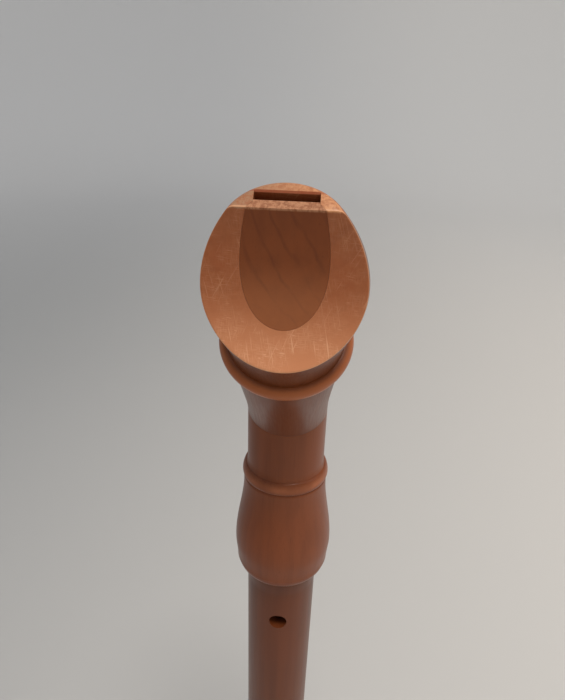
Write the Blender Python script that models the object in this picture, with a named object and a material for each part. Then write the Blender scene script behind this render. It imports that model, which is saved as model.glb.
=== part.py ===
"""Soprano recorder with a bent neck: four turned pieces of wood, a windway block and two cork laps.

Units are metres and +Z is up. The recorder stands on the open end of its foot. The body axis is
upright, the window and the finger holes face -Y, the thumb hole faces +Y, and the upper head
leans back towards +Y above the mitred neck.
"""

import math

import bmesh
import bpy
from mathutils import Matrix, Vector

# Lengths of the turned pieces, as they show when the recorder is put together
FOOT_LENGTH = 0.0600
MIDDLE_LENGTH = 0.1380
NECK_LENGTH = 0.0540
MOUTHPIECE_LENGTH = 0.0682
NECK_BEND_DEGREES = 34.3

# Bores
HEAD_BORE_RADIUS = 0.0080
MIDDLE_BORE_TOP_RADIUS = 0.0066
MIDDLE_BORE_BOTTOM_RADIUS = 0.0050
FOOT_BORE_RADIUS = 0.0052

# Walls of the head, outwards from its bore
NECK_WALL = 0.0025
CUP_WALL = 0.0042
RING_WALL = 0.0064
BEAK_FOOT_WALL = 0.0046
BEAK_WALL = 0.0076
TIP_WALL = 0.0025

# Heights on the upper head, down from its tip
BEAK_WIDEST_DROP = 0.0152
BEAK_CUT_DROP = 0.0235
RING_DROP = 0.0348
RING_HALF_WIDTH = 0.0023

# Beak cut: hollow from the end face down to the back of the beak
TIP_THICKNESS = 0.00625
BEAK_CUT_RADIUS = 0.0460

# Neck, its bead and its socket bulge
NECK_BEAD_DROP = 0.0196
NECK_BEAD_HALF_WIDTH = 0.0018
NECK_BEAD_LIFT = 0.0013
NECK_GROOVE_LIFT = 0.0006
NECK_FILLET_LIFT = 0.0003
SOCKET_END_WALL = 0.0013
SOCKET_LIP_WALL = 0.0035
SOCKET_BULGE_WALL = 0.00425
SOCKET_LIP_ROUND = 0.0028
SOCKET_BULGE_RISE = 0.0098

# Tenons, outwards from the middle joint's bore, and the body's shoulders above them
UPPER_TENON_WALL = 0.0027
UPPER_TENON_LENGTH = 0.0170
LOWER_TENON_WALL = 0.0032
LOWER_TENON_LENGTH = 0.0150
TOP_SHOULDER = 0.0013
BOTTOM_SHOULDER = 0.0014
TOP_FLARE = 0.0004
TOP_FLARE_LENGTH = 0.0060
CORK_DEPTH = 0.0008
CORK_INSET = 0.0035
UPPER_CORK_END_INSET = 0.0035
LOWER_CORK_END_INSET = 0.0015

# Foot, outwards from its bore and up from its open end
FOOT_SOCKET_WALL = 0.0030
FOOT_LIP_WALL = 0.0041
FOOT_BULGE_WALL = 0.0047
FOOT_LIP_ROUND = 0.0022
FOOT_BULGE_DROP = 0.0090
FOOT_WAIST_WALL = 0.0046
FOOT_BEAD_DROP = 0.0280
FOOT_BEAD_HALF_WIDTH = 0.0014
FOOT_BEAD_LIFT = 0.0011
FOOT_BELL_WALL = 0.0074
FOOT_END_BEAD_LIFT = 0.0011
FOOT_END_BEAD_LOW = 0.0012
FOOT_END_BEAD_HIGH = 0.0062
FOOT_END_ROUND = 0.0005
FOOT_BELL_HEIGHT = 0.0072

# Clearances
SOCKET_CLEARANCE = 0.0003
CORK_CLEARANCE = 0.0001
SEAT_GAP = 0.0003
GLUE_GAP = 0.0001
BLOCK_CLEARANCE = 0.00015

# Windway, window and labium
WINDWAY_LENGTH = 0.0420
WINDWAY_ENTRY_WIDTH = 0.0114
WINDWAY_EXIT_WIDTH = 0.0096
WINDWAY_ENTRY_HEIGHT = 0.0018
WINDWAY_EXIT_HEIGHT = 0.0011
WINDWAY_ROOF_LAND = 0.0001
WINDWAY_ROOF_RISE = 0.0002
WINDWAY_CHAMFER = 0.0003
WINDOW_LENGTH = 0.0040
RAMP_LENGTH = 0.0140
LABIUM_THICKNESS = 0.0005

# Finger holes: drop below the body's top shoulder, radius, and offset to one side
THUMB_HOLE = (0.0165, 0.0025, 0.0)
MIDDLE_HOLES = {
    "first_finger": (0.0215, 0.0025, 0.0),
    "second_finger": (0.0390, 0.0028, 0.0),
    "third_finger": (0.0560, 0.0026, 0.0),
    "fourth_finger": (0.0760, 0.0029, 0.0),
    "fifth_finger": (0.0930, 0.0028, 0.0),
    "sixth_finger_large": (0.1110, 0.0018, 0.0025),
    "sixth_finger_small": (0.1110, 0.0013, -0.0025),
}
# The foot's holes drop below the floor of its socket
FOOT_HOLES = {
    "little_finger_large": (0.0045, 0.0017, 0.0024),
    "little_finger_small": (0.0045, 0.0013, -0.0024),
}
LITTLE_FINGER_TURN_DEGREES = 12.0
HOLE_UNDERCUT = 0.0003

# Facets, and how far a cutter runs past what it cuts
TURNED_SIDES = 40
HOLE_SIDES = 16
CUT_MARGIN = 0.0200
SMOOTH_ANGLE = math.radians(32.0)

# Sizes that follow from the ones above
NECK_BEND = math.radians(NECK_BEND_DEGREES)
NECK_RADIUS = HEAD_BORE_RADIUS + NECK_WALL
RING_HEIGHT = MOUTHPIECE_LENGTH - RING_DROP
BEAK_WIDEST_HEIGHT = MOUTHPIECE_LENGTH - BEAK_WIDEST_DROP
BEAK_CUT_HEIGHT = MOUTHPIECE_LENGTH - BEAK_CUT_DROP
TIP_RADIUS = HEAD_BORE_RADIUS + TIP_WALL
WINDWAY_EXIT = MOUTHPIECE_LENGTH - WINDWAY_LENGTH
LABIUM_EDGE = WINDWAY_EXIT - WINDOW_LENGTH
ROOF_AT_ENTRY = -(HEAD_BORE_RADIUS + WINDWAY_ROOF_LAND)
ROOF_AT_EXIT = ROOF_AT_ENTRY - WINDWAY_ROOF_RISE
UPPER_TENON_RADIUS = MIDDLE_BORE_TOP_RADIUS + UPPER_TENON_WALL
LOWER_TENON_RADIUS = MIDDLE_BORE_BOTTOM_RADIUS + LOWER_TENON_WALL
UPPER_SOCKET_RADIUS = UPPER_TENON_RADIUS + SOCKET_CLEARANCE
LOWER_SOCKET_RADIUS = LOWER_TENON_RADIUS + SOCKET_CLEARANCE
BODY_TOP_RADIUS = UPPER_TENON_RADIUS + TOP_SHOULDER
BODY_BOTTOM_RADIUS = LOWER_TENON_RADIUS + BOTTOM_SHOULDER
MIDDLE_HEIGHT = FOOT_LENGTH + SEAT_GAP
BEND_HEIGHT = MIDDLE_HEIGHT + MIDDLE_LENGTH + SEAT_GAP + NECK_LENGTH

# Lower and upper edges of the cork laps, from the middle joint's lower shoulder
UPPER_CORK = (
    MIDDLE_LENGTH + CORK_INSET,
    MIDDLE_LENGTH + UPPER_TENON_LENGTH - UPPER_CORK_END_INSET,
)
LOWER_CORK = (-LOWER_TENON_LENGTH + LOWER_CORK_END_INSET, -CORK_INSET)


# Outlines are lists of (radius, height) points.


def swell(start, end, steps=6):
    """S-curve from one point to another, level with the axis at both ends."""
    points = []
    for step in range(1, steps + 1):
        share = step / steps
        ease = share * share * (3.0 - 2.0 * share)
        points.append((
            start[0] + (end[0] - start[0]) * ease,
            start[1] + (end[1] - start[1]) * share,
        ))
    return points


def bead(start, end, lift, steps=6):
    """Half-round bead between two points, which stands out by its lift."""
    points = []
    for step in range(1, steps + 1):
        share = step / steps
        along = (1.0 - math.cos(math.pi * share)) / 2.0
        points.append((
            start[0] + (end[0] - start[0]) * along + lift * math.sin(math.pi * share),
            start[1] + (end[1] - start[1]) * along,
        ))
    return points


def round_out(start, end, steps=4):
    """Quarter ellipse that leaves start across the axis and reaches end along it."""
    points = []
    for step in range(1, steps + 1):
        angle = math.pi / 2.0 * step / steps
        points.append((
            start[0] + (end[0] - start[0]) * math.sin(angle),
            end[1] + (start[1] - end[1]) * math.cos(angle),
        ))
    return points


def round_in(start, end, steps=4):
    """Quarter ellipse that leaves start along the axis and reaches end across it."""
    points = []
    for step in range(1, steps + 1):
        angle = math.pi / 2.0 * step / steps
        points.append((
            end[0] + (start[0] - end[0]) * math.cos(angle),
            start[1] + (end[1] - start[1]) * math.sin(angle),
        ))
    return points


# Materials


def make_material(name, colour, roughness):
    material = bpy.data.materials.new(name)
    material.use_nodes = True
    shader = material.node_tree.nodes["Principled BSDF"]
    shader.inputs["Base Color"].default_value = (*colour, 1.0)
    shader.inputs["Roughness"].default_value = roughness
    shader.inputs["Metallic"].default_value = 0.0
    return material


def stained_wood(name):
    return make_material(name, (0.140, 0.052, 0.025), 0.35)


def mouthpiece_wood():
    return make_material("mouthpiece_wood", (0.230, 0.085, 0.038), 0.40)


def block_wood():
    return make_material("block_wood", (0.170, 0.062, 0.028), 0.50)


def lap_cork(name):
    return make_material(name, (0.420, 0.250, 0.130), 0.85)


# Objects


def clear_scene():
    for old in list(bpy.data.objects):
        bpy.data.objects.remove(old, do_unlink=True)


def make_empty(name, location, parent=None, tilt=0.0):
    empty = bpy.data.objects.new(name, None)
    empty.empty_display_size = CUT_MARGIN
    empty.location = location
    empty.rotation_euler = (tilt, 0.0, 0.0)
    empty.parent = parent
    bpy.context.scene.collection.objects.link(empty)
    return empty


def make_object(name, shape, parent, material=None):
    mesh = bpy.data.meshes.new(name)
    bmesh.ops.recalc_face_normals(shape, faces=shape.faces)
    shape.to_mesh(mesh)
    shape.free()
    mesh.shade_smooth()
    mesh.set_sharp_from_angle(angle=SMOOTH_ANGLE)
    if material:
        mesh.materials.append(material)
    obj = bpy.data.objects.new(name, mesh)
    obj.parent = parent
    bpy.context.scene.collection.objects.link(obj)
    return obj


def turned(name, outline, parent, material):
    """Hollow piece, turned about its Z axis from a closed outline."""
    shape = bmesh.new()
    corners = [shape.verts.new((radius, 0.0, height)) for radius, height in outline]
    edges = [shape.edges.new(pair) for pair in zip(corners, corners[1:] + corners[:1])]
    bmesh.ops.spin(
        shape,
        geom=corners + edges,
        axis=(0.0, 0.0, 1.0),
        angle=2.0 * math.pi,
        steps=TURNED_SIDES,
        use_merge=True,
    )
    return make_object(name, shape, parent, material)


def extruded(name, outline, half_width, parent):
    """Slab with a (y, z) outline, which runs half_width to each side along X."""
    shape = bmesh.new()
    face = shape.faces.new([shape.verts.new((-half_width, y, z)) for y, z in outline])
    made = bmesh.ops.extrude_face_region(shape, geom=[face])["geom"]
    far_side = [item for item in made if isinstance(item, bmesh.types.BMVert)]
    bmesh.ops.translate(shape, verts=far_side, vec=(2.0 * half_width, 0.0, 0.0))
    return make_object(name, shape, parent)


def cut(target, cutter):
    cutter.hide_render = True
    cutter.display_type = "WIRE"
    modifier = target.modifiers.new(cutter.name, "BOOLEAN")
    modifier.operation = "DIFFERENCE"
    modifier.solver = "EXACT"
    modifier.object = cutter


def mitre_cutter(name, parent, side):
    """Cube that ends at the mitre plane and fills the side above it (1) or below it (-1)."""
    size = 4.0 * CUT_MARGIN
    shape = bmesh.new()
    bmesh.ops.create_cube(shape, size=size)
    bmesh.ops.translate(shape, vec=(0.0, 0.0, side * (size - GLUE_GAP) / 2.0), verts=shape.verts)
    half_bend = Matrix.Rotation(-side * NECK_BEND / 2.0, 4, "X")
    bmesh.ops.transform(shape, matrix=half_bend, verts=shape.verts)
    return make_object(name, shape, parent)


def hole_cutter(name, parent, height, radius, offset, depth, facing):
    """Drill along Y from the centre outwards, wider at the bore. Facing is -1 for the front."""
    shape = bmesh.new()
    turn = Matrix.Rotation(-facing * math.pi / 2.0, 4, "X")
    place = Matrix.Translation((offset, facing * depth / 2.0, height))
    bmesh.ops.create_cone(
        shape,
        cap_ends=True,
        segments=HOLE_SIDES,
        radius1=radius + HOLE_UNDERCUT,
        radius2=radius,
        depth=depth,
        matrix=place @ turn,
    )
    return make_object(name, shape, parent)


# Upper head, in its own frame: +Z up its leaning axis, +Y towards the player


def beak_outline():
    """Outside of the beak, from the top of the ring to the edge of the end face."""
    ring_top = RING_HEIGHT + RING_HALF_WIDTH
    widest = (HEAD_BORE_RADIUS + BEAK_WALL, BEAK_WIDEST_HEIGHT)
    outer = swell((HEAD_BORE_RADIUS + BEAK_FOOT_WALL, ring_top), widest, 7)
    steps = 7
    for step in range(1, steps + 1):
        share = step / steps
        outer.append((
            widest[0] - (widest[0] - TIP_RADIUS) * share ** 1.8,
            widest[1] + (MOUTHPIECE_LENGTH - widest[1]) * share,
        ))
    return outer


def mouthpiece_outline():
    mitre_rise = NECK_RADIUS * math.tan(NECK_BEND / 2.0)
    ring_low = RING_HEIGHT - RING_HALF_WIDTH
    ring_high = RING_HEIGHT + RING_HALF_WIDTH
    outer = [(NECK_RADIUS, -2.0 * mitre_rise), (NECK_RADIUS, mitre_rise)]
    outer += swell(outer[-1], (HEAD_BORE_RADIUS + CUP_WALL, ring_low))
    foot = (HEAD_BORE_RADIUS + BEAK_FOOT_WALL, ring_high)
    outer += bead(outer[-1], foot, RING_WALL - CUP_WALL)
    outer += beak_outline()
    inner = [(HEAD_BORE_RADIUS, MOUTHPIECE_LENGTH), (HEAD_BORE_RADIUS, -2.0 * mitre_rise)]
    return outer + inner


def radius_on(outline, height):
    """Radius of an outline at a height, between the two points next to it."""
    for low, high in zip(outline, outline[1:]):
        if low[1] <= height <= high[1]:
            share = (height - low[1]) / (high[1] - low[1])
            return low[0] + (high[0] - low[0]) * share
    return outline[0][0]


def beak_cut_curve(steps=14):
    """Arc of (y, z) points from the end face down to the beak's back, hollow to the player."""
    top = Vector((TIP_THICKNESS - TIP_RADIUS, MOUTHPIECE_LENGTH))
    low = Vector((radius_on(beak_outline(), BEAK_CUT_HEIGHT), BEAK_CUT_HEIGHT))
    chord = low - top
    to_player = Vector((-chord.y, chord.x)).normalized()
    depth = math.sqrt(BEAK_CUT_RADIUS ** 2 - (chord.length / 2.0) ** 2)
    centre = (top + low) / 2.0 + to_player * depth
    first = math.atan2(top.y - centre.y, top.x - centre.x)
    sweep = 2.0 * math.asin(chord.length / 2.0 / BEAK_CUT_RADIUS)
    points = []
    for step in range(steps + 1):
        angle = first + sweep * step / steps
        points.append((
            centre.x + BEAK_CUT_RADIUS * math.cos(angle),
            centre.y + BEAK_CUT_RADIUS * math.sin(angle),
        ))
    return points


def beak_cutter(parent):
    curve = beak_cut_curve()
    last_step = Vector(curve[-1]) - Vector(curve[-2])
    beyond = Vector(curve[-1]) + last_step.normalized() * CUT_MARGIN / 2.0
    high = MOUTHPIECE_LENGTH + CUT_MARGIN
    outline = curve + [
        (beyond.x, beyond.y),
        (beyond.x + CUT_MARGIN, beyond.y),
        (beyond.x + CUT_MARGIN, high),
        (curve[0][0], high),
    ]
    return extruded("beak_cutter", outline, 2.0 * CUT_MARGIN, parent)


def windway_half_width(height):
    share = (MOUTHPIECE_LENGTH - height) / WINDWAY_LENGTH
    return (WINDWAY_ENTRY_WIDTH + (WINDWAY_EXIT_WIDTH - WINDWAY_ENTRY_WIDTH) * share) / 2.0


def windway_section(shape, height):
    """Four corners of the windway's channel at a height, with its open side down in the bore."""
    share = (MOUTHPIECE_LENGTH - height) / WINDWAY_LENGTH
    half_width = windway_half_width(height)
    roof = ROOF_AT_ENTRY + (ROOF_AT_EXIT - ROOF_AT_ENTRY) * share
    inside = -HEAD_BORE_RADIUS / 2.0
    corners = (
        (-half_width, roof, height),
        (half_width, roof, height),
        (half_width, inside, height),
        (-half_width, inside, height),
    )
    return [shape.verts.new(corner) for corner in corners]


def windway_cutter(parent):
    shape = bmesh.new()
    high = windway_section(shape, MOUTHPIECE_LENGTH + WINDOW_LENGTH)
    low = windway_section(shape, WINDWAY_EXIT - WINDOW_LENGTH / 2.0)
    shape.faces.new(high)
    shape.faces.new(low)
    for index in range(4):
        after = (index + 1) % 4
        shape.faces.new((high[index], high[after], low[after], low[index]))
    return make_object("windway_cutter", shape, parent)


def windway_chamfer_cutter(parent):
    """Bevels the edge of the windway's roof at the end face."""
    outline = [
        (ROOF_AT_ENTRY - 2.0 * WINDWAY_CHAMFER, MOUTHPIECE_LENGTH + WINDWAY_CHAMFER),
        (ROOF_AT_ENTRY + WINDWAY_CHAMFER, MOUTHPIECE_LENGTH + WINDWAY_CHAMFER),
        (ROOF_AT_ENTRY + WINDWAY_CHAMFER, MOUTHPIECE_LENGTH - WINDWAY_CHAMFER),
        (ROOF_AT_ENTRY, MOUTHPIECE_LENGTH - WINDWAY_CHAMFER),
    ]
    return extruded("windway_chamfer_cutter", outline, WINDWAY_ENTRY_WIDTH / 2.0, parent)


def window_cutter(parent):
    """Window through the wall, with the ramp that slopes down to the labium."""
    inside = -HEAD_BORE_RADIUS / 2.0
    edge = -(HEAD_BORE_RADIUS + LABIUM_THICKNESS)
    ramp_end = edge - (CUP_WALL - LABIUM_THICKNESS)
    outside = ramp_end - CUT_MARGIN
    outline = [
        (inside, WINDWAY_EXIT),
        (outside, WINDWAY_EXIT),
        (outside, LABIUM_EDGE - RAMP_LENGTH),
        (ramp_end, LABIUM_EDGE - RAMP_LENGTH),
        (edge, LABIUM_EDGE),
        (inside, LABIUM_EDGE),
    ]
    return extruded("window_cutter", outline, WINDWAY_EXIT_WIDTH / 2.0, parent)


def build_mouthpiece(frame, beak):
    mouthpiece = turned("head_mouthpiece", mouthpiece_outline(), frame, mouthpiece_wood())
    cut(mouthpiece, mitre_cutter("mouthpiece_mitre_cutter", frame, -1))
    cut(mouthpiece, windway_cutter(frame))
    cut(mouthpiece, windway_chamfer_cutter(frame))
    cut(mouthpiece, window_cutter(frame))
    cut(mouthpiece, beak)
    return mouthpiece


def block_top_cutter(parent):
    """Takes the block down to the windway's floor, with a bevel at the entrance."""
    floor_entry = ROOF_AT_ENTRY + WINDWAY_ENTRY_HEIGHT
    floor_exit = ROOF_AT_EXIT + WINDWAY_EXIT_HEIGHT
    slope = (floor_entry - floor_exit) / WINDWAY_LENGTH
    low = WINDWAY_EXIT - WINDOW_LENGTH
    outside = -2.0 * HEAD_BORE_RADIUS
    outline = [
        (floor_exit - slope * WINDOW_LENGTH, low),
        (outside, low),
        (outside, MOUTHPIECE_LENGTH + CUT_MARGIN),
        (floor_entry + CUT_MARGIN + WINDWAY_CHAMFER, MOUTHPIECE_LENGTH + CUT_MARGIN),
        (floor_entry - slope * WINDWAY_CHAMFER, MOUTHPIECE_LENGTH - WINDWAY_CHAMFER),
    ]
    return extruded("block_top_cutter", outline, CUT_MARGIN, parent)


def block_section(shape, height):
    """Round in the bore, with straight cheeks that rise between the sides of the windway."""
    radius = HEAD_BORE_RADIUS - BLOCK_CLEARANCE
    half_width = windway_half_width(height) - BLOCK_CLEARANCE
    first = math.asin(half_width / radius)
    points = []
    for step in range(TURNED_SIDES + 1):
        angle = first + 2.0 * (math.pi - first) * step / TURNED_SIDES
        points.append((radius * math.sin(angle), -radius * math.cos(angle)))
    points += [(-half_width, ROOF_AT_EXIT), (half_width, ROOF_AT_EXIT)]
    return [shape.verts.new((x, y, height)) for x, y in points]


def build_block(frame, beak):
    shape = bmesh.new()
    high = block_section(shape, MOUTHPIECE_LENGTH)
    low = block_section(shape, WINDWAY_EXIT)
    shape.faces.new(high)
    shape.faces.new(low)
    for index in range(len(high)):
        after = (index + 1) % len(high)
        shape.faces.new((high[index], high[after], low[after], low[index]))
    block = make_object("windway_block", shape, frame, block_wood())
    cut(block, block_top_cutter(frame))
    cut(block, beak)
    return block


# Neck: its frame stands at the bend, with the socket below


def neck_outline():
    lip = -NECK_LENGTH
    lip_corner = (UPPER_SOCKET_RADIUS + SOCKET_LIP_WALL, lip + SOCKET_LIP_ROUND)
    bulge = (UPPER_SOCKET_RADIUS + SOCKET_BULGE_WALL, lip + SOCKET_BULGE_RISE)
    bead_low = -NECK_BEAD_DROP - NECK_BEAD_HALF_WIDTH
    bead_high = -NECK_BEAD_DROP + NECK_BEAD_HALF_WIDTH
    groove = NECK_RADIUS + NECK_GROOVE_LIFT
    fillet = (groove + NECK_FILLET_LIFT, bead_low - 2.0 * NECK_FILLET_LIFT)
    outer = [(UPPER_SOCKET_RADIUS + SOCKET_END_WALL, lip)]
    outer += round_out(outer[-1], lip_corner)
    outer += [(lip_corner[0] + NECK_FILLET_LIFT / 2.0, lip_corner[1])]
    outer += swell(outer[-1], bulge, 4)
    outer += swell(outer[-1], (fillet[0], fillet[1] - 3.0 * NECK_FILLET_LIFT), 8)
    outer += [fillet, (groove, bead_low)]
    outer += bead(outer[-1], (NECK_RADIUS, bead_high), NECK_BEAD_LIFT - NECK_GROOVE_LIFT / 2.0)
    outer += [(NECK_RADIUS, CUT_MARGIN)]
    socket_top = lip + UPPER_TENON_LENGTH
    inner = [
        (HEAD_BORE_RADIUS, CUT_MARGIN),
        (HEAD_BORE_RADIUS, socket_top),
        (UPPER_SOCKET_RADIUS, socket_top),
        (UPPER_SOCKET_RADIUS, lip),
    ]
    return outer + inner


def build_neck(frame):
    neck = turned("head_neck", neck_outline(), frame, stained_wood("neck_wood"))
    cut(neck, mitre_cutter("neck_mitre_cutter", frame, 1))
    return neck


# Middle joint: its frame stands at the lower shoulder, with the lower tenon below it


def cork_groove(tenon_radius, cork):
    """Groove for a cork lap, from its lower edge up."""
    seat = tenon_radius - CORK_DEPTH
    low, high = cork
    return [(tenon_radius, low), (seat, low), (seat, high), (tenon_radius, high)]


def middle_outline():
    top = MIDDLE_LENGTH
    flare_low = (BODY_TOP_RADIUS - TOP_FLARE, top - TOP_FLARE_LENGTH)
    outer = [(LOWER_TENON_RADIUS, -LOWER_TENON_LENGTH)]
    outer += cork_groove(LOWER_TENON_RADIUS, LOWER_CORK)
    outer += [(LOWER_TENON_RADIUS, 0.0), (BODY_BOTTOM_RADIUS, 0.0)]
    outer += [flare_low]
    outer += swell(flare_low, (BODY_TOP_RADIUS, top), 4)
    outer += [(UPPER_TENON_RADIUS, top)]
    outer += cork_groove(UPPER_TENON_RADIUS, UPPER_CORK)
    outer += [(UPPER_TENON_RADIUS, top + UPPER_TENON_LENGTH)]
    inner = [
        (MIDDLE_BORE_TOP_RADIUS, top + UPPER_TENON_LENGTH),
        (MIDDLE_BORE_BOTTOM_RADIUS, -LOWER_TENON_LENGTH),
    ]
    return outer + inner


def build_middle(frame):
    middle = turned("middle_joint", middle_outline(), frame, stained_wood("body_wood"))
    depth = BODY_TOP_RADIUS + CUT_MARGIN
    for name, (drop, radius, offset) in MIDDLE_HOLES.items():
        height = MIDDLE_LENGTH - drop
        cut(middle, hole_cutter(name + "_cutter", frame, height, radius, offset, depth, -1))
    drop, radius, offset = THUMB_HOLE
    height = MIDDLE_LENGTH - drop
    cut(middle, hole_cutter("thumb_cutter", frame, height, radius, offset, depth, 1))
    return middle


def build_cork(name, frame, tenon_radius, socket_radius, cork):
    inner = tenon_radius - CORK_DEPTH + GLUE_GAP
    outer = socket_radius - CORK_CLEARANCE
    bottom = cork[0] + GLUE_GAP
    top = cork[1] - GLUE_GAP
    outline = [(outer, bottom), (outer, top), (inner, top), (inner, bottom)]
    return turned(name, outline, frame, lap_cork(name + "_cork"))


# Foot joint: its frame stands on the ground


def foot_outline():
    top = FOOT_LENGTH
    bell = FOOT_BORE_RADIUS + FOOT_BELL_WALL
    waist = FOOT_BORE_RADIUS + FOOT_WAIST_WALL
    lip_corner = (LOWER_SOCKET_RADIUS + FOOT_LIP_WALL, top - FOOT_LIP_ROUND)
    bulge = (LOWER_SOCKET_RADIUS + FOOT_BULGE_WALL, top - FOOT_BULGE_DROP)
    bead_low = top - FOOT_BEAD_DROP - FOOT_BEAD_HALF_WIDTH
    bead_high = top - FOOT_BEAD_DROP + FOOT_BEAD_HALF_WIDTH
    outer = [(bell - FOOT_END_ROUND, 0.0)]
    outer += round_out(outer[-1], (bell, FOOT_END_ROUND), 3)
    outer += [(bell, FOOT_END_BEAD_LOW)]
    outer += bead(outer[-1], (bell, FOOT_END_BEAD_HIGH), FOOT_END_BEAD_LIFT)
    outer += [(bell, FOOT_BELL_HEIGHT)]
    outer += swell(outer[-1], (waist, bead_low), 8)
    outer += bead(outer[-1], (waist, bead_high), FOOT_BEAD_LIFT, 6)
    outer += swell(outer[-1], bulge)
    outer += swell(outer[-1], lip_corner, 3)
    outer += round_in(outer[-1], (LOWER_SOCKET_RADIUS + FOOT_SOCKET_WALL, top))
    socket_floor = top - LOWER_TENON_LENGTH
    inner = [
        (LOWER_SOCKET_RADIUS, top),
        (LOWER_SOCKET_RADIUS, socket_floor),
        (FOOT_BORE_RADIUS, socket_floor),
        (FOOT_BORE_RADIUS, 0.0),
    ]
    return outer + inner


def build_foot(frame):
    foot = turned("foot_joint", foot_outline(), frame, stained_wood("foot_wood"))
    holes = make_empty("little_finger_frame", (0.0, 0.0, 0.0), frame)
    holes.rotation_euler = (0.0, 0.0, math.radians(LITTLE_FINGER_TURN_DEGREES))
    depth = LOWER_SOCKET_RADIUS + FOOT_BULGE_WALL + CUT_MARGIN
    for name, (drop, radius, offset) in FOOT_HOLES.items():
        height = FOOT_LENGTH - LOWER_TENON_LENGTH - drop
        cut(foot, hole_cutter(name + "_cutter", holes, height, radius, offset, depth, -1))
    return foot


def centre_on_origin(root, parts):
    """Moves the recorder so that the middle of its box stands over the origin."""
    bpy.context.view_layer.update()
    graph = bpy.context.evaluated_depsgraph_get()
    corners = []
    for part in parts:
        solid = part.evaluated_get(graph)
        corners += [solid.matrix_world @ vertex.co for vertex in solid.data.vertices]
    for axis in (0, 1):
        values = [corner[axis] for corner in corners]
        root.location[axis] -= (min(values) + max(values)) / 2.0


def main():
    clear_scene()
    root = make_empty("recorder", (0.0, 0.0, 0.0))
    foot_frame = make_empty("foot_frame", (0.0, 0.0, 0.0), root)
    middle_frame = make_empty("middle_frame", (0.0, 0.0, MIDDLE_HEIGHT), root)
    neck_frame = make_empty("neck_frame", (0.0, 0.0, BEND_HEIGHT), root)
    upper_frame = make_empty("upper_head_frame", (0.0, 0.0, 0.0), neck_frame, -NECK_BEND)
    beak = beak_cutter(upper_frame)
    parts = [
        build_foot(foot_frame),
        build_middle(middle_frame),
        build_cork("upper_tenon_lap", middle_frame, UPPER_TENON_RADIUS, UPPER_SOCKET_RADIUS,
                   UPPER_CORK),
        build_cork("lower_tenon_lap", middle_frame, LOWER_TENON_RADIUS, LOWER_SOCKET_RADIUS,
                   LOWER_CORK),
        build_neck(neck_frame),
        build_mouthpiece(upper_frame, beak),
        build_block(upper_frame, beak),
    ]
    centre_on_origin(root, parts)


main()
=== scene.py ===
import math

import bmesh
import bpy
import numpy as np
from mathutils import Matrix, Vector


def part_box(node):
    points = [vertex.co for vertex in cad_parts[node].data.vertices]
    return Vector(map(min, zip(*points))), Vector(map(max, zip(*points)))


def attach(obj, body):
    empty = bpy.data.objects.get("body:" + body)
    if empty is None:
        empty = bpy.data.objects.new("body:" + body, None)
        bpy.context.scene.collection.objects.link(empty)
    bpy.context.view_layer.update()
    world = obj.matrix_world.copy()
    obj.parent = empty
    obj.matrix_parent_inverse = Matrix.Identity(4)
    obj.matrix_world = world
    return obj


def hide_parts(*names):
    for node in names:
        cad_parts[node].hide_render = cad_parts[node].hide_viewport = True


# Lengths are in millimetres, and become metres when a mesh is made
mm = 0.001
mergeDistance = 0.0005

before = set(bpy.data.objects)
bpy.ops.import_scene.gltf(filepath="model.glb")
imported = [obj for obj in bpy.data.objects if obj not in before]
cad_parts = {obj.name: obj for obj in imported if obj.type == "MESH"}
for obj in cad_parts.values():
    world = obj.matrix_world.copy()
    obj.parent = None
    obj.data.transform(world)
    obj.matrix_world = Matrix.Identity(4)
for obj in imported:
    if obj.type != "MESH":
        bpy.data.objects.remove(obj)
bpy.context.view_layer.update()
print("frame loaded:", ", ".join(sorted(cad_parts)))


def nodeBox(node):
    low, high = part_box(node)
    return low / mm, high / mm


# Sizes that more than one piece needs

joints = {
    "bend": 34.3,
    "neckRadius": 10.5,
    "headBore": 8.0,
    "neckLength": 54.0,
    "upperTenonRadius": 9.3,
    "upperTenonLength": 17.0,
    "lowerTenonRadius": 8.2,
    "lowerTenonLength": 15.0,
    "socketClearance": 0.3,
    "corkDepth": 0.8,
    "corkClearance": 0.1,
    "mitreSeam": 0.03,
}

middleLow, middleHigh = nodeBox("middle_joint")
neckLow, neckHigh = nodeBox("head_neck")
footLow, footHigh = nodeBox("foot_joint")

axisY = (middleLow.y + middleHigh.y) / 2
bendHeight = neckLow.z + joints["neckLength"]
shoulderHeight = middleLow.z + joints["lowerTenonLength"]
bodyLength = middleHigh.z - joints["upperTenonLength"] - shoulderHeight
bendAngle = math.radians(joints["bend"])
mitreRise = joints["neckRadius"] * math.tan(bendAngle / 2)
upperSocket = joints["upperTenonRadius"] + joints["socketClearance"]
lowerSocket = joints["lowerTenonRadius"] + joints["socketClearance"]

# How far cutters run past what they cut
cutters = {"reach": 20.0, "bevelReach": 10.0, "halfWidth": 30.0, "mitreSize": 90.0, "sides": 160}

# Where each turned piece stands, with its own Z along its axis and +Y towards the player
footFrame = Matrix.Translation((0, axisY, 0))
bodyFrame = Matrix.Translation((0, axisY, shoulderHeight))
neckFrame = Matrix.Translation((0, axisY, bendHeight))
headFrame = neckFrame @ Matrix.Rotation(-bendAngle, 4, "X")


# Outlines are lists of (radius, height)


def swell(start, end, steps=24):
    # S-curve, level with the axis at both ends
    points = []
    for step in range(1, steps + 1):
        share = step / steps
        ease = share * share * (3 - 2 * share)
        points.append((
            start[0] + (end[0] - start[0]) * ease,
            start[1] + (end[1] - start[1]) * share,
        ))
    return points


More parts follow.
